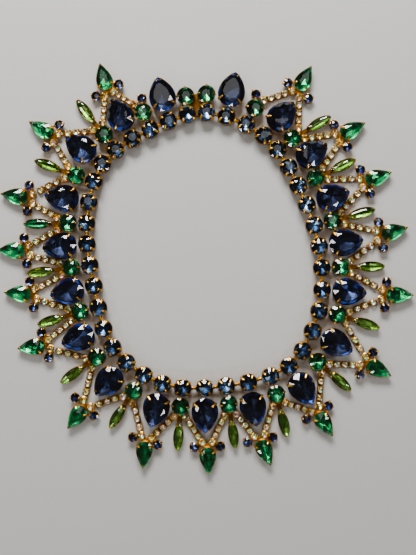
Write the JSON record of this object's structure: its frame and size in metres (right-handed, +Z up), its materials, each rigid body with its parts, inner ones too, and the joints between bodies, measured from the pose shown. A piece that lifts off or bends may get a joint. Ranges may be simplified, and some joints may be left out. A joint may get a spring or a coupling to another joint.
{
  "type": "bib necklace",
  "caption": "Bib necklace lying in a closed loop: a neck row of round stones with large pears, green rounds, marquises and pointed stone-set spikes standing out all round.",
  "frame": {"origin": "on the surface that the necklace lies on, under the middle of its outline", "axes": "+Z up out of the surface and through the faces of the stones, +Y towards the clasp at the back of the neck, +X to the wearer's left as it lies face up"},
  "size_m": [0.2006, 0.1982, 0.0068],
  "materials": {
    "neck_row_stones": "polished dark blue cut glass in gilt four-claw cups",
    "blue_pear_stones": "polished deep blue cut glass in gilt cups",
    "green_stones": "polished emerald green cut glass in gilt cups",
    "leaf_stones": "polished yellow-green cut glass in slim gilt cups",
    "aurora_stones": "clear cut glass with an iridescent coat, in gilt cups",
    "gilt_brass": "warm gold plating, bright on the claws and darker in the hollows"
  },
  "bodies": {
    "root": {"stone_chain_left": "neck_row_stones", "stone_chain_right": "neck_row_stones", "clasp": "gilt_brass", "blue_pear_03": "blue_pear_stones", "blue_pear_05": "blue_pear_stones", "blue_pear_07": "blue_pear_stones", "blue_pear_09": "blue_pear_stones", "blue_pear_11": "blue_pear_stones", "blue_pear_13": "blue_pear_stones", "blue_pear_15": "blue_pear_stones", "blue_pear_17": "blue_pear_stones", "blue_pear_19": "blue_pear_stones", "blue_pear_21": "blue_pear_stones", "blue_pear_23": "blue_pear_stones", "blue_pear_25": "blue_pear_stones", "blue_pear_27": "blue_pear_stones", "blue_pear_29": "blue_pear_stones", "blue_pear_31": "blue_pear_stones", "blue_pear_33": "blue_pear_stones", "blue_pear_35": "blue_pear_stones", "blue_pear_37": "blue_pear_stones", "blue_pear_39": "blue_pear_stones", "green_top_01": "green_stones", "green_top_02": "green_stones", "green_end_04": "green_stones", "green_end_38": "green_stones", "green_leaf_06": "leaf_stones", "green_leaf_08": "leaf_stones", "green_leaf_10": "leaf_stones", "green_leaf_12": "leaf_stones", "green_leaf_14": "leaf_stones", "green_leaf_16": "leaf_stones", "green_leaf_18": "leaf_stones", "green_leaf_20": "leaf_stones", "green_leaf_22": "leaf_stones", "green_leaf_24": "leaf_stones", "green_leaf_26": "leaf_stones", "green_leaf_28": "leaf_stones", "green_leaf_30": "leaf_stones", "green_leaf_32": "leaf_stones", "green_leaf_34": "leaf_stones", "green_leaf_36": "leaf_stones", "spike_05": "aurora_stones", "spike_07": "aurora_stones", "spike_09": "aurora_stones", "spike_11": "aurora_stones", "spike_13": "aurora_stones", "spike_15": "aurora_stones", "spike_17": "aurora_stones", "spike_19": "aurora_stones", "spike_21": "aurora_stones", "spike_23": "aurora_stones", "spike_25": "aurora_stones", "spike_27": "aurora_stones", "spike_29": "aurora_stones", "spike_31": "aurora_stones", "spike_33": "aurora_stones", "spike_35": "aurora_stones", "spike_37": "aurora_stones"}
  },
  "joints": []
}
